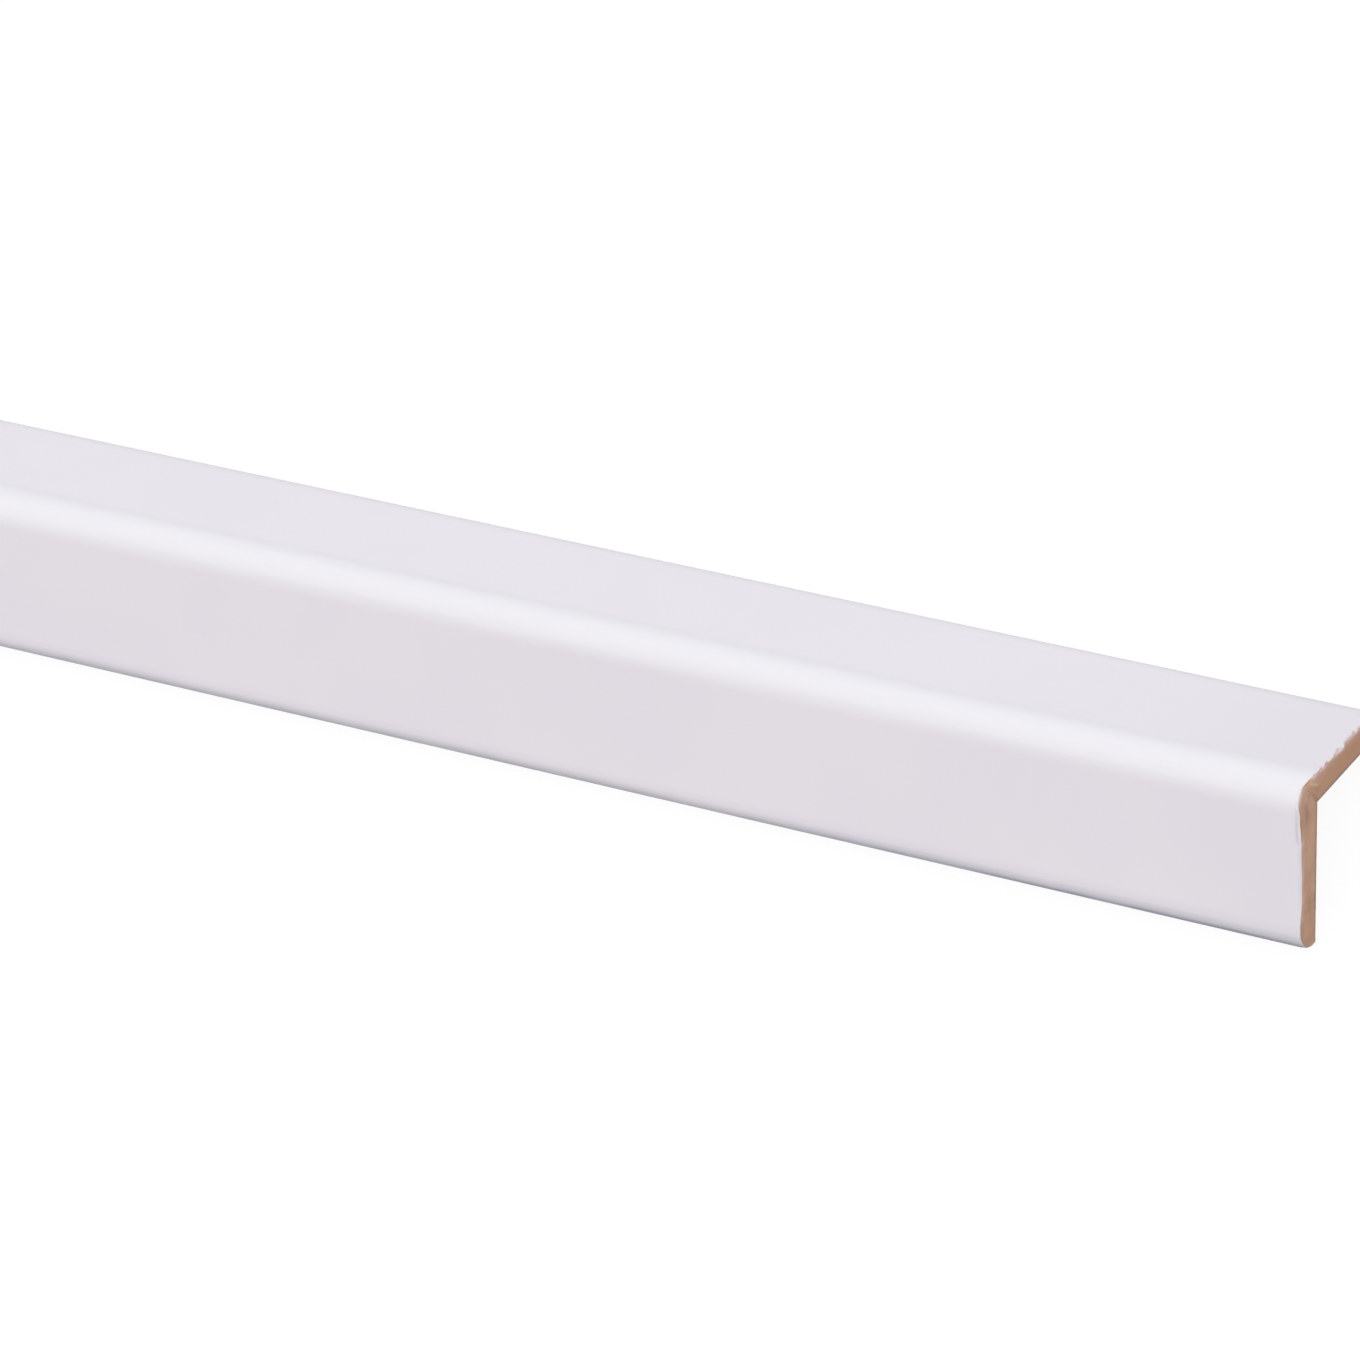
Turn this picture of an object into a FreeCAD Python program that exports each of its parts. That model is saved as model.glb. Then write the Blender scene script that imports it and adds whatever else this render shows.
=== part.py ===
import FreeCAD
import Part
import math
import os

# Corner guard moulding, millimetres. The stick lies along X like a low roof: the outside corner
# points up and both legs run down at 45 degrees to the floor, where it rests on the two back edges.
LENGTH = 2400.0
LEG_WIDTH = 28.0
WALL = 4.8
CORNER_RADIUS = 4.8
TIP_RADIUS = 3.2
BACK_EDGE_RADIUS = 0.3
SEAM_WIDTH = 0.3
SEAM_DEPTH = 2.4

ROOT_HALF = math.sqrt(0.5)


def rounded_wire(corners):
    """Closed wire through (across, up, radius) corners in the YZ plane, each rounded by its radius."""
    points = [FreeCAD.Vector(0, across, up) for across, up, radius in corners]
    starts = []
    arcs = []
    ends = []
    for i, (across, up, radius) in enumerate(corners):
        here = points[i]
        back = (points[i - 1] - here).normalize()
        ahead = (points[(i + 1) % len(points)] - here).normalize()
        half_angle = back.getAngle(ahead) / 2
        reach = radius / math.tan(half_angle)
        middle = here + (back + ahead).normalize() * (radius / math.sin(half_angle) - radius)
        starts.append(here + back * reach)
        ends.append(here + ahead * reach)
        arcs.append(middle if radius > 0 else None)
    edges = []
    for i, middle in enumerate(arcs):
        if middle is not None:
            edges.append(Part.Arc(starts[i], middle, ends[i]).toShape())
        next_start = starts[(i + 1) % len(starts)]
        if ends[i].distanceToPoint(next_start) > 1e-6:
            edges.append(Part.makeLine(ends[i], next_start))
    return Part.Wire(edges)


def section(floor):
    """Wire of the angle section. Positions on it are measured from the sharp outside corner:
    along is the way down the leg, deep is the way in from the leg's outside face."""
    tip_radius = min(TIP_RADIUS, WALL - BACK_EDGE_RADIUS)

    def on_leg(side, along, deep, radius=0.0):
        across = side * (along - deep) * ROOT_HALF
        up = floor - (along + deep) * ROOT_HALF
        return across, up, radius

    # The mitre seam is a narrow V that opens at the inside corner.
    seam_mouth = WALL + SEAM_WIDTH * ROOT_HALF
    seam_root = WALL - SEAM_DEPTH * ROOT_HALF
    corners = [
        on_leg(1, 0, 0, CORNER_RADIUS),
        on_leg(1, LEG_WIDTH, 0, tip_radius),
        on_leg(1, LEG_WIDTH, WALL, BACK_EDGE_RADIUS),
        on_leg(1, seam_mouth, WALL),
        on_leg(1, seam_root, seam_root),
        on_leg(-1, seam_mouth, WALL),
        on_leg(-1, LEG_WIDTH, WALL, BACK_EDGE_RADIUS),
        on_leg(-1, LEG_WIDTH, 0, tip_radius),
    ]
    return rounded_wire(corners)


# Height of the sharp outside corner when the rounded back edges touch the floor.
apex_height = (LEG_WIDTH + WALL - 2 * BACK_EDGE_RADIUS) * ROOT_HALF + BACK_EDGE_RADIUS

corner_guard = Part.Face(section(apex_height)).extrude(FreeCAD.Vector(LENGTH, 0, 0))
corner_guard.translate(FreeCAD.Vector(-LENGTH / 2, 0, 0))

os.makedirs("parts", exist_ok=True)
corner_guard.exportStep("parts/corner_guard.step")
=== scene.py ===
import math

import bpy
import numpy as np
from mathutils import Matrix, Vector, noise


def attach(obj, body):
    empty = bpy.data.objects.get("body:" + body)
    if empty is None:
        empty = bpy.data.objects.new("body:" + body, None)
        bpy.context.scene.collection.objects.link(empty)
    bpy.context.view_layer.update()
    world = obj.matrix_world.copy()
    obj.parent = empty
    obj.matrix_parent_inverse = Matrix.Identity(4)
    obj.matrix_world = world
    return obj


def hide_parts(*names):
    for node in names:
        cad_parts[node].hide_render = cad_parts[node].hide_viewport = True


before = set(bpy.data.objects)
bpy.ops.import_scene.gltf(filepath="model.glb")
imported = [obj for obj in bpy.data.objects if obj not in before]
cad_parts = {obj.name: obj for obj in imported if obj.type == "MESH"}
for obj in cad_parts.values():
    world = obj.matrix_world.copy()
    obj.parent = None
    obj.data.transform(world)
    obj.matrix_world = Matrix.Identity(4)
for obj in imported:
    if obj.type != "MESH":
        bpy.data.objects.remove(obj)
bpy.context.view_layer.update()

# A stick of brown fibreboard in white foil. Lengths are in millimetres until new_mesh makes metres
# of them. "Along" runs down a leg from the sharp outside corner, and "deep" runs in from the leg's
# outside face. "Position" is the distance round the outside from the apex, minus on the front leg.
# "Side" is -1 for the front leg and 1 for the rear one.
MM = 0.001
LENGTH = 2400.0
LEG_WIDTH = 28.0
WALL = 4.8
CORNER_RADIUS = 4.8
TIP_RADIUS = 3.2
BACK_EDGE_RADIUS = 0.3
# The seam is closed up here as the photo shows it; the solid has a wider mouth.
SEAM_WIDTH = 0.08
SEAM_DEPTH = 2.4
FOIL = 0.15
BOARD_INTO_FOIL = 0.01
# The ends of the solid are square. The board's own faces stop short of them, which leaves room at
# the near end for the lean of the saw cut and for torn foil.
OVERHANG = 0.35
FAR_GAP = 0.03
NEAR_END = LENGTH / 2 - OVERHANG
FAR_END = -LENGTH / 2 + FAR_GAP
ROOT_HALF = math.sqrt(0.5)
APEX_HEIGHT = (LEG_WIDTH + WALL - 2 * BACK_EDGE_RADIUS) * ROOT_HALF + BACK_EDGE_RADIUS

# Steps round the section. An arc of a smaller radius is cut as one of SMALLEST_ARC.
FOIL_STEP = 0.09
BOARD_STEP = 0.12
SMALLEST_ARC = 0.4
# Edges that turn by more than this, in degrees, look sharp.
SMOOTH_ANGLE = 40
WANDER_KNOTS, WANDER_START = 4000, 1000


# Curves from 0 to 1


def rise(value, start, over):
    return np.clip((value - start) / over, 0, 1)


def fall(value, start, over):
    return np.clip((start - value) / over, 0, 1)


def fading(distance, reach):
    return np.clip(1 - distance / reach, 0, 1)


def hump(value, middle, half, power=2):
    return np.clip(1 - ((value - middle) / half) ** power, 0, 1)


def bell(value, middle, width):
    return np.exp(-((value - middle) / width) ** 2)


def wander(position, pitch, seed):
    """Smooth noise along a line, from about -1 to 1."""
    knots = np.random.default_rng(seed).uniform(-1, 1, WANDER_KNOTS)
    at = position / pitch + WANDER_START
    low = np.floor(at).astype(int)
    share = at - low
    share = share * share * (3 - 2 * share)
    return knots[low] * (1 - share) + knots[low + 1] * share


# Section and meshes


def spaced(length, step):
    """Shares from 0 to 1 that cut a length into equal steps, none longer than step."""
    return np.linspace(0, 1, max(2, int(math.ceil(length / step)) + 1))


def leg_path(inset, step):
    """Outside of one leg from the apex to its back edge, inset from the surface: its points in
    along and deep, and their outward normals."""
    parts = []

    def arc(centre, radius, start, end):
        length = abs(end - start) * math.pi / 180 * max(radius, SMALLEST_ARC)
        turn = np.radians(start + (end - start) * spaced(length, step))
        normal = np.stack([np.cos(turn), np.sin(turn)], axis=1)
        parts.append((np.array(centre) + normal * radius, normal))

    def line(start, end, normal):
        share = spaced(math.dist(start, end), step)[:, None]
        points = np.array(start) * (1 - share) + np.array(end) * share
        parts.append((points, np.tile(normal, (len(share), 1))))

    tip, back = LEG_WIDTH - TIP_RADIUS, LEG_WIDTH - BACK_EDGE_RADIUS
    back_deep = WALL - BACK_EDGE_RADIUS
    arc((CORNER_RADIUS, CORNER_RADIUS), CORNER_RADIUS - inset, 225, 270)
    line((CORNER_RADIUS, inset), (tip, inset), (0.0, -1.0))
    arc((tip, TIP_RADIUS), TIP_RADIUS - inset, 270, 360)
    line((LEG_WIDTH - inset, TIP_RADIUS), (LEG_WIDTH - inset, back_deep), (1.0, 0.0))
    arc((back, back_deep), BACK_EDGE_RADIUS - inset, 0, 90)
    first, *others = parts
    points = np.concatenate([first[0]] + [part[0][1:] for part in others])
    normals = np.concatenate([first[1]] + [part[1][1:] for part in others])
    return points, normals


def running_length(points):
    steps = np.linalg.norm(np.diff(points, axis=0), axis=1)
    return np.concatenate([[0], np.cumsum(steps)])


def across_up(side, points, apex=APEX_HEIGHT):
    """Section points in along and deep to the frame's Y and Z. With an apex of 0, directions."""
    along, deep = points[..., 0], points[..., 1]
    across = side * (along - deep) * ROOT_HALF
    return np.stack([across, apex - (along + deep) * ROOT_HALF], axis=-1)


def new_mesh(name, vertices, faces):
    mesh = bpy.data.meshes.new(name)
    mesh.from_pydata([tuple(v) for v in np.asarray(vertices) * MM], [], faces)
    mesh.validate()
    mesh.update()
    for polygon in mesh.polygons:
        polygon.use_smooth = True
    mesh.set_sharp_from_angle(angle=math.radians(SMOOTH_ANGLE))
    piece = bpy.data.objects.new(name, mesh)
    bpy.context.scene.collection.objects.link(piece)
    return piece


def grid_faces(index, flip=False):
    """Quads over a 2-D array of vertex numbers."""
    a, b, c, d = index[:-1, :-1], index[:-1, 1:], index[1:, 1:], index[1:, :-1]
    quads = np.stack([a, b, c, d], axis=-1).reshape(-1, 4)
    return (quads[:, ::-1] if flip else quads).tolist()


def set_values(piece, name, values):
    attribute = piece.data.attributes.new(name, "FLOAT", "POINT")
    attribute.data.foreach_set("value", np.asarray(values, dtype=np.float32).ravel())


# Foil

# How far back from the board's sawn face the foil ends, by position: at the near end it is broken
# away at the corner and frayed along the rear leg, and at the far end it is only a little worn.
NEAR_EDGE = [
    (-31, -0.17), (-30, -0.19), (-29.2, -0.20), (-28.8, -0.17), (-28.3, -0.07), (-27.8, -0.03),
    (-27, -0.02), (-25.5, 0.02), (-24.75, 0.14), (-24, 0.27), (-22, 0.345), (-20.5, 0.25),
    (-19, 0.16), (-16, 0.145), (-14, 0.195), (-12, 0.26), (-10.5, 0.305), (-9, 0.29), (-8, 0.36),
    (-6.75, 0.45), (-6, 0.49), (-5.25, 0.59), (-4.5, 0.63), (-3.8, 0.67), (-3, 0.86), (-2.5, 1.00),
    (-1.3, 1.16), (0, 1.09), (0.5, 1.12), (1, 0.94), (1.5, 0.79), (2, 0.65), (2.5, 0.48),
    (3, 0.40), (3.5, 0.38), (4.2, 0.23), (5.2, 0.29), (5.8, 0.40), (6.3, 0.26), (6.8, 0.20),
    (7.2, 0.30), (7.75, 0.44), (8.1, 0.02), (8.6, -0.04), (9.6, 0.00), (10.4, 0.16), (11.0, 0.28),
    (12.1, 0.38), (12.45, -0.20), (12.95, -0.24), (13.4, -0.10), (13.8, 0.14), (14.4, 0.25),
    (15.2, 0.36), (16.4, 0.34), (17.4, 0.24), (18.05, 0.56), (18.4, -0.12), (19.0, 0.18),
    (20, 0.08), (21, 0.16), (22, 0.02), (24, 0.14), (26, 0.04), (28, 0.1), (31, 0.06),
]
FAR_EDGE = [
    (-31, 0.06), (-25, 0.1), (-14, 0.05), (-3, 0.22), (0, 0.4), (3, 0.22), (14, 0.05), (25, 0.1),
    (31, 0.06),
]
NEAR_EDGE_SEED, FAR_EDGE_SEED = 11, 31
# How far the knots are rounded off, and how far the foil stays inside the solid's near end.
EDGE_ROUNDING, EDGE_GAP = 0.2, 0.02
# Height, pitch and seed step of the fine tears, and the share of them that the front leg has.
TEARS = ((0.03, 0.42, 0), (0.022, 0.16, 1))
FRONT_TEARS = 0.25

# Rows of the foil's mesh at each end, by distance back from the board's face.
FOIL_ROWS = np.array([0, 0.08, 0.18, 0.3, 0.45, 0.62, 0.8, 1.05, 1.5, 2.4, 4.2, 8.0])

# What has happened to the front leg's near edge: it has come up a little near the corner, is
# pressed down below that, and the tip is knocked in. Height, and how far back each reaches.
LIFT, LIFT_REACH = 0.07, 0.8
PRESS, PRESS_REACH = 0.05, 1.05
KNOCK, KNOCK_REACH = 0.115, 0.9

# Wear near the foil's edge: strength, and how far back it reaches. Of each pair of the stain's
# numbers the second is added where the foil is frayed. The crease's painted shade runs so far
# back, with a swing, and the rolled rim's painted shade has a strength and a reach.
RUBBED, RUBBED_REACH = 0.5, 0.8
STAIN, STAIN_WHERE_FRAYED = 0.30, 0.45
STAIN_REACH, STAIN_REACH_WHERE_FRAYED = 0.12, 0.16
FAR_WEAR, FAR_WEAR_REACH = 0.4, 0.3
CREASE_BACK, CREASE_SWING, CREASE_WIDTH = 0.52, 0.11, 0.27
ROLLED, ROLLED_REACH = 0.64, 0.65

# Share of painted shade on the tips, where they turn down towards the floor, by distance from
# the apex: in the stick's middle, and on the front leg near the stick's ends.
MIDDLE_TIP_SHADE = [
    (22.9, 0), (23.5, 0.05), (24.0, 0.06), (24.37, 0.09), (24.77, 0.165), (25.1, 0.26),
    (25.45, 0.37), (25.95, 0.54), (26.6, 0.70),
]
END_TIP_SHADE = [
    (22.2, 0), (22.75, 0.04), (23.25, 0.07), (23.77, 0.12), (24.1, 0.18), (24.48, 0.24),
    (24.8, 0.28), (25.15, 0.39), (25.4, 0.51), (25.72, 0.86), (26.0, 1.0),
]
# How far back the front tip's cut edge is painted in shade, and how dark the legs get near the
# stick's ends.
CUT_EDGE_SHADE_REACH = 0.25
FRONT_LEG_DARKENING, REAR_LEG_DARKENING = 0.035, 0.06
# Where the strip that is not darkened and the stretched strip over the corner have their middles.
UNDARKENED_MIDDLE, STRETCHED_MIDDLE = 0.6, 1.0


def foil_edge(position, knots, seed):
    """Set-back of the foil's cut edge: the knots, a little rounded, with fine tears that are
    coarsest along the rear leg."""
    places, depths = zip(*knots)
    shifts = np.linspace(-EDGE_ROUNDING, EDGE_ROUNDING, 9)
    rounded = np.mean([np.interp(position + shift, places, depths) for shift in shifts], axis=0)
    coarse = FRONT_TEARS + (1 - FRONT_TEARS) * rise(position, start=-2, over=5)
    rough = sum(height * wander(position, pitch, seed + step) for height, pitch, step in TEARS)
    return np.maximum(rounded + coarse * rough, EDGE_GAP - OVERHANG)


def foil_wear(position, shape):
    """How worn the foil is, how grey it is with painted shade, and how much painted shade is on
    its cut edge, for the two layers, the rows and the positions of its mesh."""
    worn, shade_grey, cut_edge_shade = np.zeros((3, *shape))
    # Rubbed through at the corner, and stained along the torn edge.
    rubbed = bell(position, middle=-1.6, width=2.0)
    frayed = rise(position, start=5, over=3)
    # Painted shade, grey, along a crease below the corner and on the rim that is rolled in below
    # that.
    creased = hump(position, middle=-5.7, half=3.3, power=4)
    crease_at = CREASE_BACK + CREASE_SWING * hump(position, middle=-6.7, half=1.8)
    rolled = ROLLED * fall(position, start=-8, over=1.5) * rise(position, start=-20, over=3)
    # Painted shade on the front tip's cut edge.
    cut = fall(position, start=-24.5, over=2)
    for k, back in enumerate(FOIL_ROWS):
        stain = fading(back, STAIN_REACH + STAIN_REACH_WHERE_FRAYED * frayed)
        stain = stain * (STAIN + STAIN_WHERE_FRAYED * frayed)
        worn[:, k] = np.maximum(RUBBED * rubbed * fading(back, RUBBED_REACH), stain)
        worn[:, -1 - k] = FAR_WEAR * fading(back, FAR_WEAR_REACH)
        shade_grey[:, k] = np.maximum(creased * bell(back, crease_at, CREASE_WIDTH),
                                rolled * fading(back, ROLLED_REACH))
        cut_edge_shade[:, k] = cut * fading(back, CUT_EDGE_SHADE_REACH)
    return worn, shade_grey, cut_edge_shade


def make_foil():
    points, normals = leg_path(0.0, FOIL_STEP)
    section = np.concatenate([across_up(-1, points[:0:-1]), across_up(1, points)])
    outward = np.concatenate([across_up(-1, normals[:0:-1], 0.0), across_up(1, normals, 0.0)])
    run = running_length(section)
    position = run - run[len(points) - 1]

    fade = (1 - FOIL_ROWS / FOIL_ROWS[-1]) ** 2
    near = foil_edge(position, NEAR_EDGE, NEAR_EDGE_SEED)
    far = foil_edge(position, FAR_EDGE, FAR_EDGE_SEED)
    lift = LIFT * hump(position, middle=-6.2, half=2.2)
    press = PRESS * fall(position, start=-9, over=3) * rise(position, start=-23.5, over=2)
    knock = KNOCK * hump(position, middle=-27.3, half=1.9)
    rows = []
    for back, part in zip(FOIL_ROWS, fade):
        bend = (lift * fading(back, LIFT_REACH) - press * fading(back, PRESS_REACH) ** 2
                - knock * fading(back, KNOCK_REACH))
        rows.append((NEAR_END - back - near * part, bend))
    for back, part in zip(FOIL_ROWS[::-1], fade[::-1]):
        rows.append((FAR_END + back + far * part, np.zeros_like(far)))
    layers = []
    for depth in (0.0, FOIL):
        for x, bend in rows:
            layers.append(np.column_stack([x, section + outward * (bend - depth)[:, None]]))
    vertices = np.concatenate(layers)

    shape = (2, len(rows), len(section))
    outer, inner = np.arange(len(vertices)).reshape(shape)
    faces = grid_faces(outer) + grid_faces(inner, True)
    for rim in ((inner[0], outer[0]), (outer[-1], inner[-1]),
                (outer[:, 0], inner[:, 0]), (inner[:, -1], outer[:, -1])):
        faces += grid_faces(np.stack(rim))
    piece = new_mesh("white_foil", vertices, faces)

    # Painted shade is on the two tips all along, where they turn down towards the floor, with more
    # of it near the ends of the front one, and the legs are a little darker there. The foil is
    # stretched over the corner, and that strip is tinted as a painted highlight.
    middle_tip_shade = np.interp(abs(position), *zip(*MIDDLE_TIP_SHADE))
    end_tip_shade = np.interp(abs(position), *zip(*END_TIP_SHADE))
    end_tip_shade = np.where(position < 0, end_tip_shade, middle_tip_shade)
    leg_darkening = np.where(position > 0, REAR_LEG_DARKENING, FRONT_LEG_DARKENING)
    darker_legs = rise(abs(position - UNDARKENED_MIDDLE), start=3.4, over=1.5) * leg_darkening
    stretched = fall(abs(position - STRETCHED_MIDDLE), start=4.3, over=1.5)
    worn, shade_grey, cut_edge_shade = foil_wear(position, shape)
    set_values(piece, "worn", worn)
    set_values(piece, "shade_grey", shade_grey)
    set_values(piece, "tip_shade", np.broadcast_to(middle_tip_shade, shape))
    set_values(piece, "end_tip_shade", np.broadcast_to(end_tip_shade, shape))
    set_values(piece, "cut_edge_shade", cut_edge_shade)
    set_values(piece, "darker_legs", np.broadcast_to(darker_legs, shape))
    set_values(piece, "stretched", np.broadcast_to(stretched, shape))
    return piece


# Board

# Marks on the near sawn face: kind, side, along, deep, turn in degrees, half length and half width,
# strength.
MARKS = [
    ("pale", 1, 3.65, 1.25, 28, 1.75, 0.22, 1.0),
    ("dark", 1, 4.0, 2.3, 25, 2.4, 0.8, 0.24),
    ("dark", -1, 1.9, 1.5, 45, 0.9, 0.35, 0.40),
    ("dark", -1, 1.2, 0.6, 45, 1.0, 0.6, 0.20),
    ("dark", 1, 1.35, 0.9, 45, 0.9, 0.9, 0.58),
    ("lint", -1, 2.2, 0.6, 30, 2.0, 0.9, 0.07),
    ("lint", 1, 1.2, 0.65, 45, 1.2, 0.8, 0.05),
    ("dark", -1, 4.5, 0.95, 15, 2.0, 1.0, 0.66),
    ("dark", -1, 20.3, 2.4, 5, 1.6, 1.6, 0.34),
    ("dark", -1, 24.3, 2.4, 0, 1.8, 1.9, 0.12),
    ("dark", -1, 26.9, 2.0, 0, 1.1, 2.2, 0.26),
    # Painted shade along the rim of the front tip's sawn face.
    ("dark", -1, 25.0, 0.2, 0, 4.3, 0.6, 0.42),
    ("dark", -1, 17.75, 4.6, 0, 0.35, 0.4, 0.45),
    ("dark", -1, 20.4, 4.55, 0, 0.8, 0.45, 0.6),
    ("dark", -1, 22.0, 4.6, 0, 0.4, 0.4, 0.7),
    # Painted shade in a gap under torn foil.
    ("dark", 1, 8.45, 0.2, 0, 0.3, 0.22, 0.7),
    ("dark", 1, 4.45, 3.85, 47, 0.8, 0.30, 0.60),
    ("dark", 1, 3.2, 2.7, 40, 0.9, 0.30, 0.42),
    ("dark", 1, 2.1, 1.85, 38, 0.7, 0.25, 0.20),
    ("warm", 1, 19.0, 2.4, 0, 13.0, 4.0, 0.95),
    ("red", -1, 24.8, 3.0, 0, 1.8, 1.2, 0.4),
    ("red", -1, 9.0, 4.1, 0, 2.6, 0.35, 0.5),
    ("lint", 1, 6.6, 0.15, 0, 0.9, 0.25, 0.25),
    ("lint", 1, 12.3, 0.30, 0, 0.9, 0.25, 0.35),
    ("lint", 1, 13.9, 0.35, 0, 0.9, 0.40, 0.75),
    ("lint", 1, 19.3, 0.20, 0, 0.5, 0.28, 0.50),
]
MARK_KINDS = ("pale", "dark", "red", "warm", "chalk", "lint")
# How fast the torn foil's lint thins out from the rim of the sawn face, by side.
LINT_REACH = {-1: 0.25, 1: 0.42}
REAR_LINT, FRONT_LINT, FRONT_LINT_AT_TIP = 0.42, 0.24, 0.2
LINT_SPREAD, LINT_PITCH, LINT_SEED = 0.4, 0.9, 83

# Rows of the board's sides behind its near face: how far back, and how much white is left on the
# worn corner there.
BARE_STRIP = [
    (0.3, 0.0), (0.55, 0.05), (0.75, 0.20), (0.95, 0.50), (1.15, 0.80), (1.4, 0.9), (1.9, 0.0),
]
STRIP_LINT, RUBBED_LINT, RUBBED_DARK = 1.05, 0.08, 0.45

# Share of the inside line that the seam's flank takes up, and the lines of the end's grid from the
# outside to the inside.
SEAM_SHARE = 0.09
GRID_LINES = np.concatenate(
    [[0, 0.02, 0.045, 0.075], np.linspace(0.11, 0.92, 23), [0.95, 0.975, 1.0]])

# The near cut: the saw ran out of square through the front leg, by so much at the corner and so
# much more at the tip, and left a burr on the tip, given by its height, place and half sizes.
LEAN_AT_CORNER, LEAN_TO_TIP = 0.09, 0.06
BURR, BURR_ALONG, BURR_DEEP, BURR_HALF_ALONG, BURR_HALF_DEEP = 0.12, LEG_WIDTH, 3.8, 0.6, 1.0
# The worn rims of the sawn faces: depth and reach, and the pitch and seed of the outer one's wear.
OUTER_RIM, OUTER_RIM_AT_CORNER, OUTER_RIM_REACH = 0.03, 0.11, 0.5
INNER_RIM, INNER_RIM_REACH = 0.02, 0.2
RIM_WEAR, RIM_WEAR_PITCH, RIM_WEAR_SEED = 0.02, 0.5, 71
# Height and frequency of the fibres that stand up on the sawn faces.
FIBRES = ((0.014, 1.1), (0.010, 3.6))
# The two ends take the fibres' noise from places this far to each side, at one level of it.
FIBRE_SHIFT, FIBRE_LEVEL = 40, 3.0
# How far the sawn faces stay inside the solid's near end.
FACE_GAP = 0.01


def torn_lint(position):
    """How much of the foil's torn fibre is left on the board's rim."""
    left = REAR_LINT * rise(position, start=1.4, over=1.8)
    before_tip = np.maximum(rise(position, start=-23, over=3), FRONT_LINT_AT_TIP)
    left = left + FRONT_LINT * fall(position, start=-5.2, over=3) * before_tip
    return left * (1 + LINT_SPREAD * wander(position, LINT_PITCH, LINT_SEED))


def board_grid():
    """Grid over one leg's section, from its outside to its inside and from the mitre to the tip,
    in along and deep, and the running length of its outside."""
    outside, _ = leg_path(FOIL - BOARD_INTO_FOIL, BOARD_STEP)
    run = running_length(outside)
    mouth = WALL + SEAM_WIDTH * ROOT_HALF
    root = WALL - SEAM_DEPTH * ROOT_HALF
    corners = np.array([(root, root), (mouth, WALL), (LEG_WIDTH - BACK_EDGE_RADIUS, WALL)])
    corner_share = np.array([0.0, SEAM_SHARE, 1.0])
    share = run / run[-1]
    # The seam's mouth is a point of the inside line.
    share[int(np.argmin(abs(share - SEAM_SHARE)))] = SEAM_SHARE
    inside = np.stack([np.interp(share, corner_share, corners[:, k]) for k in (0, 1)], axis=1)
    inward = GRID_LINES[None, :, None]
    return outside[:, None] * (1 - inward) + inside[:, None] * inward, run


def fibre_relief(flat, sign):
    relief = np.zeros(flat.shape[:2])
    for spot in np.ndindex(*relief.shape):
        across, up = flat[spot]
        place = Vector((across + FIBRE_SHIFT * sign, up, FIBRE_LEVEL))
        relief[spot] = sum(height * noise.noise(place * often) for height, often in FIBRES)
    return relief


def end_face(grid, position, side, sign):
    """Points of one leg's sawn face, at the near end (sign 1) or at the far end (sign -1)."""
    flat = across_up(side, grid)
    along, deep = grid[..., 0], grid[..., 1]
    from_outside = np.linalg.norm(grid - grid[:, :1], axis=2)
    from_inside = np.linalg.norm(grid - grid[:, -1:], axis=2)
    rim = OUTER_RIM_AT_CORNER * bell(position, middle=-0.4, width=2.4) + OUTER_RIM
    rim = rim + RIM_WEAR * wander(position, RIM_WEAR_PITCH, RIM_WEAR_SEED + sign)
    relief = -rim[:, None] * fading(from_outside, OUTER_RIM_REACH) ** 2
    relief -= INNER_RIM * fading(from_inside, INNER_RIM_REACH) ** 2
    if side < 0 and sign > 0:
        lean = LEAN_AT_CORNER + LEAN_TO_TIP * rise(along, WALL, LEG_WIDTH - WALL)
        relief += lean * rise(deep, 0, WALL) * rise(along, 0, WALL) ** 2
        relief += BURR * np.exp(-(((along - BURR_ALONG) / BURR_HALF_ALONG) ** 2
                                  + ((deep - BURR_DEEP) / BURR_HALF_DEEP) ** 2))
    relief += fibre_relief(flat, sign)
    end = NEAR_END if sign > 0 else FAR_END
    x = end + sign * np.minimum(relief, OVERHANG - FACE_GAP)
    return np.concatenate([x[..., None], flat], axis=2)


def face_marks(grid, position, side):
    """Strength of each kind of mark over one leg's near sawn face."""
    marks = {kind: np.zeros(grid.shape[:2]) for kind in MARK_KINDS}
    for kind, leg, along, deep, turn, half_length, half_width, strength in MARKS:
        if leg != side:
            continue
        c, s = math.cos(math.radians(turn)), math.sin(math.radians(turn))
        u = (grid[..., 0] - along) * c + (grid[..., 1] - deep) * s
        v = (grid[..., 1] - deep) * c - (grid[..., 0] - along) * s
        marks[kind] += strength * np.exp(-(u / half_length) ** 4 - (v / half_width) ** 2)
    from_outside = np.linalg.norm(grid - grid[:, :1], axis=2)
    marks["lint"] += torn_lint(position)[:, None] * np.exp(-from_outside / LINT_REACH[side])
    return marks


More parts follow.
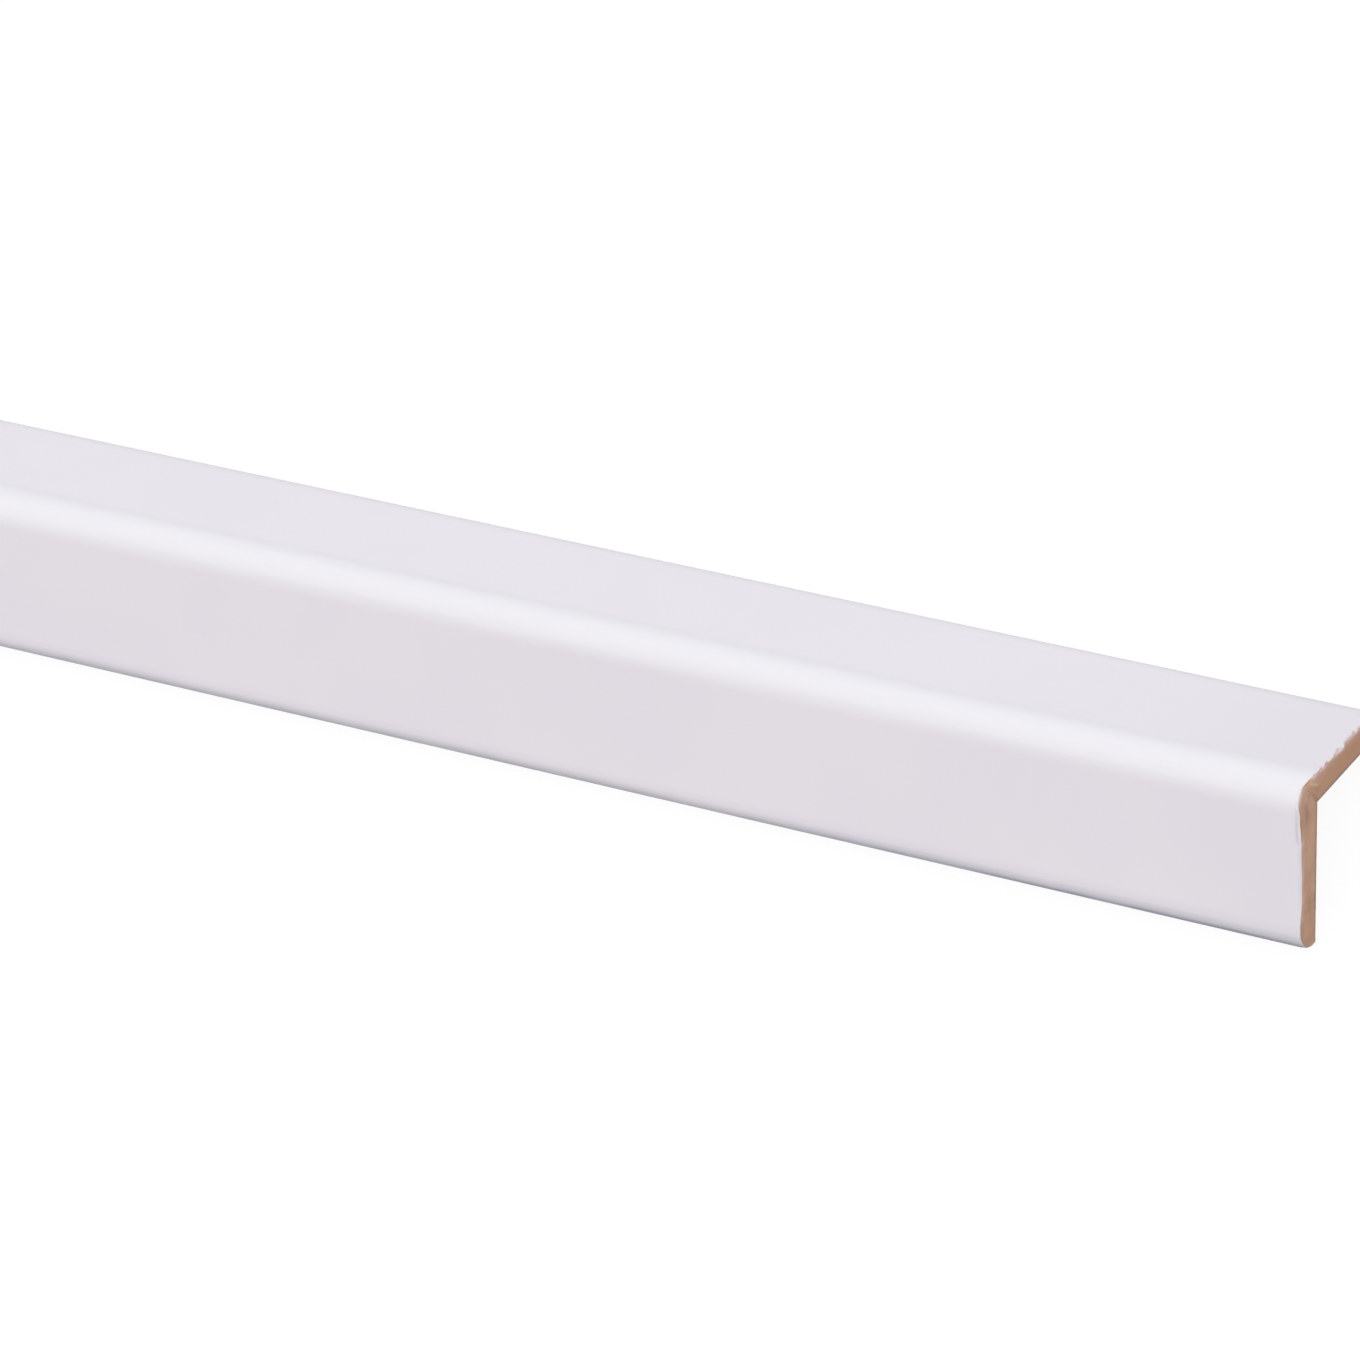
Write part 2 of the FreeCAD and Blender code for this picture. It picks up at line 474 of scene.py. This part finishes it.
def make_board():
    """Board inside the foil: the two legs' end faces as grids that meet at the mitre, and the
    sides between them."""
    grid, run = board_grid()
    vertices, faces = [], []
    marks = {kind: [] for kind in MARK_KINDS}

    def add_points(points, painted, keep):
        """Takes in the points to keep, with their marks, and gives back their vertex numbers."""
        points = points[keep]
        start = sum(len(block) for block in vertices)
        vertices.append(points.reshape(-1, 3))
        bare = np.zeros(points.shape[:-1])
        for kind in MARK_KINDS:
            marks[kind].append((painted[kind][keep] if kind in painted else bare).ravel())
        return np.arange(start, start + bare.size).reshape(bare.shape)

    def rim(table):
        """Outside, tip and inside of a leg's grid, in one line."""
        return np.concatenate([table[:, 0], table[-1, 1:], table[-2::-1, -1]])

    ends = {}
    for sign in (1, -1):
        mitre = None
        for side in (-1, 1):
            position = side * run
            painted = face_marks(grid, position, side) if sign > 0 else {}
            keep = slice(0, None) if mitre is None else slice(1, None)
            index = add_points(end_face(grid, position, side, sign), painted, keep)
            if mitre is None:
                mitre = index[0]
            else:
                index = np.concatenate([mitre[None], index])
            ends[sign, side] = index
            faces += grid_faces(index, side * sign < 0)

    # The sides run from rim to rim, with a few rows close behind the near face for the strip that
    # the foil leaves bare. The two legs share the first and last vertex of each row.
    shared = None
    for side in (-1, 1):
        line = rim(grid)
        position = side * np.concatenate([run, np.full(len(line) - len(run), run[-1])])
        rubbed = hump(position, middle=-1.2, half=2.4)
        lint = STRIP_LINT * torn_lint(position) + RUBBED_LINT * rubbed
        keep = slice(0, None) if shared is None else slice(1, -1)
        rows = []
        for back, chalk in BARE_STRIP:
            row = np.column_stack([np.full(len(line), NEAR_END - back), across_up(side, line)])
            painted = {"chalk": chalk * rubbed, "lint": lint, "dark": RUBBED_DARK * rubbed}
            rows.append(add_points(row, painted, keep))
        if shared is None:
            shared = [(row[0], row[-1]) for row in rows]
        else:
            rows = [np.concatenate([[first], row, [last]])
                    for row, (first, last) in zip(rows, shared)]
        near, far = rim(ends[1, side]), rim(ends[-1, side])
        faces += grid_faces(np.stack([near] + rows + [far]), side < 0)

    piece = new_mesh("board", np.concatenate(vertices), faces)
    for kind, values in marks.items():
        set_values(piece, kind, np.clip(np.concatenate(values), 0, 1))
    return piece


# Materials


class Nodes:
    """Short way to add and link the shader nodes of a material or a world."""

    def __init__(self, owner):
        owner.use_nodes = True
        self.owner = owner
        self.tree = owner.node_tree
        self.tree.nodes.clear()

    def add(self, kind, settings=None, **inputs):
        """Adds a node. An input is named, with _ for a space, or numbered: i0, i1."""
        node = self.tree.nodes.new(kind)
        for key, value in (settings or {}).items():
            setattr(node, key, value)
        for key, value in inputs.items():
            numbered = key[0] == "i" and key[1:].isdigit()
            self.put(node.inputs[int(key[1:]) if numbered else key.replace("_", " ")], value)
        return node

    def put(self, socket, value):
        if isinstance(value, bpy.types.NodeSocket):
            self.tree.links.new(value, socket)
        else:
            socket.default_value = value

    def math(self, operation, a, b=0.0, clamp=False):
        settings = {"operation": operation, "use_clamp": clamp}
        return self.add("ShaderNodeMath", settings, i0=a, i1=b).outputs[0]

    def ramp(self, value, low, high, out_low=0.0, out_high=1.0):
        """Smooth step from out_low at low to out_high at high."""
        return self.add("ShaderNodeMapRange", {"interpolation_type": "SMOOTHSTEP"}, Value=value,
                        From_Min=low, From_Max=high, To_Min=out_low, To_Max=out_high).outputs[0]

    def mix(self, factor, a, b):
        """Mix of two colours, each a socket or three numbers."""
        node = self.add("ShaderNodeMix", {"data_type": "RGBA"}, i0=factor)
        for socket, value in ((node.inputs[6], a), (node.inputs[7], b)):
            self.put(socket, (*value, 1.0) if isinstance(value, tuple) else value)
        return node.outputs[2]

    def noise(self, vector, scale, detail=2.0, roughness=0.5):
        return self.add("ShaderNodeTexNoise", Vector=vector, Scale=scale, Detail=detail,
                        Roughness=roughness).outputs[0]

    def place(self):
        return self.add("ShaderNodeTexCoord").outputs["Object"]

    def stretched(self, vector, scale):
        return self.add("ShaderNodeMapping", Vector=vector, Scale=scale).outputs[0]

    def value(self, name):
        return self.add("ShaderNodeAttribute", {"attribute_name": name}).outputs["Fac"]

    def seen(self):
        """1 where the camera, a reflection or a clear material looks at the surface."""
        path = self.add("ShaderNodeLightPath").outputs
        through = self.math("MAXIMUM", path["Is Glossy Ray"], path["Is Transmission Ray"])
        return self.math("MAXIMUM", path["Is Camera Ray"], through)


FOIL_ROUGHNESS, FOIL_ROUGHNESS_SPREAD = 0.42, 0.04
FOIL_IOR = 1.32
FOIL_WHITE, FOIL_WHITER = (0.835, 0.812, 0.862), (0.850, 0.828, 0.874)
# A painted highlight tint on the foil over the corner.
FOIL_HIGHLIGHT_TINT = (0.830, 0.832, 0.861)
FOIL_STAIN = (0.68, 0.54, 0.52)
FOIL_SHADE_GREY = (0.672, 0.668, 0.727)
# Colours of the painted shade on the front and rear tips; the legs darken towards them too.
FRONT_SHADE_COLOUR, REAR_SHADE_COLOUR = (0.36, 0.37, 0.455), (0.42, 0.44, 0.40)
# Scales of the foil's noises, a metre.
CLOUD_SCALE, STAIN_SCALE, PEEL_SCALE, GRIT_SCALE = 35.0, 1500.0, 420.0, 900.0
PEEL_SHARE, GRIT_SHARE = 0.7, 0.3
SHADE_NOISE_SCALE, WAVE_SCALE = (90.0, 400.0, 400.0), (110.0, 500.0, 500.0)
WAVE_HEIGHT, PEEL_HEIGHT, PEEL_STRENGTH = 0.00015, 0.00002, 0.35
# How far from the stick's ends the tips' painted shade starts to deepen and is deepest, and the
# legs' darkening too.
TIP_SHADE_FROM, TIP_SHADE_TO = 100, 25
LEG_DARKENING_FROM, LEG_DARKENING_TO = 30, 6


def foil_material():
    n = Nodes(bpy.data.materials.new("white_satin_foil"))
    place = n.place()
    cloud = n.noise(place, CLOUD_SCALE, 3.0)
    colour = n.mix(n.ramp(cloud, 0.35, 0.65), FOIL_WHITE, FOIL_WHITER)
    # The strip over the corner is tinted as a painted highlight.
    colour = n.mix(n.value("stretched"), colour, FOIL_HIGHLIGHT_TINT)
    spots = n.ramp(n.noise(place, STAIN_SCALE), 0.36, 0.60)
    colour = n.mix(n.math("MULTIPLY", n.value("worn"), spots), colour, FOIL_STAIN)
    # Painted shade, grey, along the crease and on the rolled rim.
    colour = n.mix(n.value("shade_grey"), colour, FOIL_SHADE_GREY)

    # The painted shade on the tips is darkest near the stick's ends.
    x, y, _ = n.add("ShaderNodeSeparateXYZ", i0=place).outputs
    from_middle = n.math("ABSOLUTE", x)

    def near_ends(start, end):
        return n.ramp(from_middle, (LENGTH / 2 - start) * MM, (LENGTH / 2 - end) * MM)

    near_end_share = near_ends(TIP_SHADE_FROM, TIP_SHADE_TO)
    middle = n.math("MULTIPLY", n.value("tip_shade"), n.math("SUBTRACT", 1.0, near_end_share))
    tip_shade = n.math("ADD", middle, n.math("MULTIPLY", n.value("end_tip_shade"), near_end_share))
    shade_noise = n.noise(n.stretched(place, SHADE_NOISE_SCALE), 1.0, 3.0)
    tip_shade = n.math("MULTIPLY", tip_shade, n.ramp(shade_noise, 0.3, 0.7, 0.85, 1.15))
    # The legs are a little darker towards the stick's ends.
    darker_legs = n.math("MULTIPLY", n.value("darker_legs"), near_ends(LEG_DARKENING_FROM, LEG_DARKENING_TO))
    painted_darkening = n.math("MAXIMUM", n.math("ADD", tip_shade, darker_legs, True), n.value("cut_edge_shade"))
    colour = n.mix(painted_darkening, colour, n.mix(n.ramp(y, -MM, MM), FRONT_SHADE_COLOUR, REAR_SHADE_COLOUR))

    # A fine peel all over, and longer waves where the foil is stretched over the corner.
    peel = n.math("ADD", n.math("MULTIPLY", n.noise(place, PEEL_SCALE), PEEL_SHARE),
                  n.math("MULTIPLY", n.noise(place, GRIT_SCALE), GRIT_SHARE))
    wave = n.math("MULTIPLY", n.noise(n.stretched(place, WAVE_SCALE), 1.0), n.value("stretched"))
    waves = n.add("ShaderNodeBump", Strength=1.0, Distance=WAVE_HEIGHT, Height=wave)
    bump = n.add("ShaderNodeBump", Strength=PEEL_STRENGTH, Distance=PEEL_HEIGHT, Height=peel,
                 Normal=waves.outputs[0])
    roughness = n.ramp(cloud, 0.3, 0.7, FOIL_ROUGHNESS - FOIL_ROUGHNESS_SPREAD,
                       FOIL_ROUGHNESS + FOIL_ROUGHNESS_SPREAD)
    shader = n.add("ShaderNodeBsdfPrincipled", Base_Color=colour, Roughness=roughness,
                   Normal=bump.outputs[0], IOR=FOIL_IOR)
    n.add("ShaderNodeOutputMaterial", i0=shader.outputs[0])
    return n.owner


BOARD_SPECULAR = 0.25
BOARD_BROWN, BOARD_PALER = (0.446, 0.268, 0.181), (0.494, 0.310, 0.214)
BOARD_RED, BOARD_WARM = (0.470, 0.256, 0.176), (0.415, 0.234, 0.146)
FIBRE_PALE, FIBRE_DARK = (0.60, 0.41, 0.29), (0.32, 0.180, 0.112)
SPECK, PRESSED_SKIN, GLUE = (0.16, 0.09, 0.055), (0.245, 0.185, 0.150), (0.14, 0.08, 0.055)
MARK_PALE, MARK_DARK = (0.62, 0.405, 0.262), (0.20, 0.11, 0.075)
CHALK, LINT = (0.74, 0.66, 0.62), (0.80, 0.70, 0.75)
# How much of these colours shows where the specks, glue and marks are at their strongest.
SPECK_SHARE, GLUE_SHARE, RED_SHARE, WARM_SHARE, DARK_SHARE = 0.6, 0.2, 0.7, 0.9, 0.7
# Scales of the board's noises, a metre: the fibres' along the stick, along the leg and inwards.
PATCH_SCALE, RED_SCALE, SPECK_CELLS = 330.0, 150.0, 750.0
FIBRE_ALONG_STICK, FIBRE_ALONG_LEG, FIBRE_INWARD = 1400.0, 900.0, 2600.0
# The legs get other stretches of the fibre noise, this far apart.
LEG_SHIFT = 0.05
FIBRE_HEIGHT, FIBRE_STRENGTH = 0.00006, 0.5


def board_material():
    n = Nodes(bpy.data.materials.new("bare_fibreboard"))
    place = n.place()
    x, y, z = n.add("ShaderNodeSeparateXYZ", i0=place).outputs
    across = n.math("ABSOLUTE", y)
    drop = n.math("SUBTRACT", APEX_HEIGHT * MM, z)
    along = n.math("MULTIPLY", n.math("ADD", drop, across), ROOT_HALF)
    deep = n.math("MULTIPLY", n.math("SUBTRACT", drop, across), ROOT_HALF)
    shifted = n.math("ADD", along, n.math("MULTIPLY", n.math("SIGN", y), LEG_SHIFT))
    fibre_place = n.add("ShaderNodeCombineXYZ", i0=n.math("MULTIPLY", x, FIBRE_ALONG_STICK),
                        i1=n.math("MULTIPLY", shifted, FIBRE_ALONG_LEG),
                        i2=n.math("MULTIPLY", deep, FIBRE_INWARD)).outputs[0]
    fibre = n.noise(fibre_place, 1.0, 4.0, 0.6)

    patch = n.ramp(n.noise(place, PATCH_SCALE, 3.0), 0.33, 0.67)
    colour = n.mix(patch, BOARD_BROWN, BOARD_PALER)
    red = n.math("MAXIMUM", n.ramp(n.noise(place, RED_SCALE), 0.48, 0.70, 0.0, 0.35),
                 n.math("MULTIPLY", n.value("red"), RED_SHARE))
    colour = n.mix(red, colour, BOARD_RED)
    colour = n.mix(n.math("MULTIPLY", n.value("warm"), WARM_SHARE), colour, BOARD_WARM)
    colour = n.mix(n.ramp(fibre, 0.52, 0.78, 0.0, 0.25), colour, FIBRE_PALE)
    colour = n.mix(n.ramp(fibre, 0.46, 0.24, 0.0, 0.28), colour, FIBRE_DARK)
    # A few dark specks.
    cells = n.add("ShaderNodeTexVoronoi", Vector=place, Scale=SPECK_CELLS).outputs
    dot = n.ramp(cells["Distance"], 0.16, 0.08)
    chance = n.add("ShaderNodeSeparateColor", i0=cells["Color"]).outputs[0]
    speck = n.math("MULTIPLY", dot, n.ramp(chance, 0.90, 0.92))
    colour = n.mix(n.math("MULTIPLY", speck, SPECK_SHARE), colour, SPECK)
    # The board's pressed skin is darker, inside more than outside, and so is the glue in the seam.
    inside = n.ramp(deep, (WALL - 0.95) * MM, (WALL - 0.2) * MM, 0.0, 0.60)
    inside = n.math("MULTIPLY", inside, n.ramp(along, 22.2 * MM, 23.4 * MM, 1.0, 0.4))
    skin = n.math("MAXIMUM", inside, n.ramp(deep, 0.6 * MM, 0.15 * MM, 0.0, 0.06))
    colour = n.mix(skin, colour, PRESSED_SKIN)
    glue = n.math("MULTIPLY", n.ramp(across, 0.11 * MM, 0.03 * MM),
                  n.ramp(deep, 2.4 * MM, 3.4 * MM))
    colour = n.mix(n.math("MULTIPLY", glue, GLUE_SHARE), colour, GLUE)
    colour = n.mix(n.value("pale"), colour, MARK_PALE)
    # Dark marks, some of them painted shade at the front tip's rim and in a gap under the foil.
    colour = n.mix(n.math("MULTIPLY", n.value("dark"), DARK_SHARE), colour, MARK_DARK)
    colour = n.mix(n.value("chalk"), colour, CHALK)
    colour = n.mix(n.value("lint"), colour, LINT)

    bump = n.add("ShaderNodeBump", Strength=FIBRE_STRENGTH, Distance=FIBRE_HEIGHT, Height=fibre)
    shader = n.add("ShaderNodeBsdfPrincipled", Base_Color=colour,
                   Roughness=n.ramp(fibre, 0.3, 0.7, 0.82, 0.95), Normal=bump.outputs[0],
                   Specular_IOR_Level=BOARD_SPECULAR)
    n.add("ShaderNodeOutputMaterial", i0=shader.outputs[0])
    return n.owner


FLOOR_SHADE = (0.10, 0.10, 0.10, 1)
FLOOR_GLOW = 0.925
WHITE = (1, 1, 1, 1)


def floor_material():
    """White to the camera, apart from the object's shadow, and greyer in the light it sends up."""
    n = Nodes(bpy.data.materials.new("pale_floor"))
    shade = n.add("ShaderNodeBsdfDiffuse", Color=FLOOR_SHADE).outputs[0]
    glow = n.add("ShaderNodeEmission", Color=WHITE, Strength=FLOOR_GLOW).outputs[0]
    lit = n.add("ShaderNodeAddShader", i0=shade, i1=glow).outputs[0]
    both = n.add("ShaderNodeMixShader", i0=n.seen(), i1=shade, i2=lit).outputs[0]
    n.add("ShaderNodeOutputMaterial", i0=both)
    return n.owner


# Pieces

foil = make_foil()
foil.data.materials.append(foil_material())
board = make_board()
board.data.materials.append(board_material())
for piece, slot in ((board, "bare_board"), (foil, "foil_wrapped_board")):
    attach(piece, "root")
    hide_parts("corner_guard")

# Stage, in metres

FLOOR_HALF = 40.0
floor_mesh = bpy.data.meshes.new("floor")
floor_mesh.from_pydata([(-FLOOR_HALF, -FLOOR_HALF, 0), (FLOOR_HALF, -FLOOR_HALF, 0),
                        (FLOOR_HALF, FLOOR_HALF, 0), (-FLOOR_HALF, FLOOR_HALF, 0)],
                       [], [(0, 1, 2, 3)])
floor = bpy.data.objects.new("floor", floor_mesh)
floor_mesh.materials.append(floor_material())
bpy.context.scene.collection.objects.link(floor)

# The world is white to the camera, and soft light of almost that level to the object.
WORLD_COLOUR, WORLD_LEVEL = (1.0, 0.976, 0.983, 1), 0.98
studio = Nodes(bpy.data.worlds.new("studio"))
light = studio.add("ShaderNodeBackground", Color=WORLD_COLOUR, Strength=WORLD_LEVEL).outputs[0]
white = studio.add("ShaderNodeBackground", Color=WHITE, Strength=1.0).outputs[0]
sky = studio.add("ShaderNodeMixShader", i0=studio.seen(), i1=light, i2=white).outputs[0]
studio.add("ShaderNodeOutputWorld", i0=sky)
bpy.context.scene.world = studio.owner

# Broad lamps: name, direction that it shines from, level, at which 1 renders white as white, angle
# in degrees, colour.
LAMPS = [
    ("key", (0.2, 0.82, 0.57), 0.099, 60, (0.75, 0.855, 1.0)),
    ("near_side", (1.0, 0.0, 0.03), 0.485, 12, (1, 1, 1)),
    ("far_side", (-1.0, 0.0, 0.03), 0.27, 12, (1, 1, 1)),
]
for name, towards, level, angle, colour in LAMPS:
    lamp = bpy.data.lights.new(name, "SUN")
    lamp.energy = level * math.pi
    lamp.angle = math.radians(angle)
    lamp.color = colour
    sun = bpy.data.objects.new(name, lamp)
    sun.rotation_euler = Vector(towards).to_track_quat("Z", "Y").to_euler()
    bpy.context.scene.collection.objects.link(sun)

# The photo's camera, rolled because the photo holds the stick with one leg upright.
CAMERA_PLACE = (1.503761 - OVERHANG * MM, -0.207855, 0.836417)
CAMERA_TURN = (20.584057, 21.028925, 19.597167)
camera_data = bpy.data.cameras.new("camera")
camera_data.sensor_width = 36.0
camera_data.lens = 163.370
camera_data.clip_start = 0.01
camera_data.clip_end = 200.0
camera = bpy.data.objects.new("camera", camera_data)
camera.location = CAMERA_PLACE
camera.rotation_euler = [math.radians(angle) for angle in CAMERA_TURN]
bpy.context.scene.collection.objects.link(camera)
bpy.context.scene.camera = camera

bpy.context.scene.view_settings.view_transform = "Standard"

bpy.context.view_layer.update()
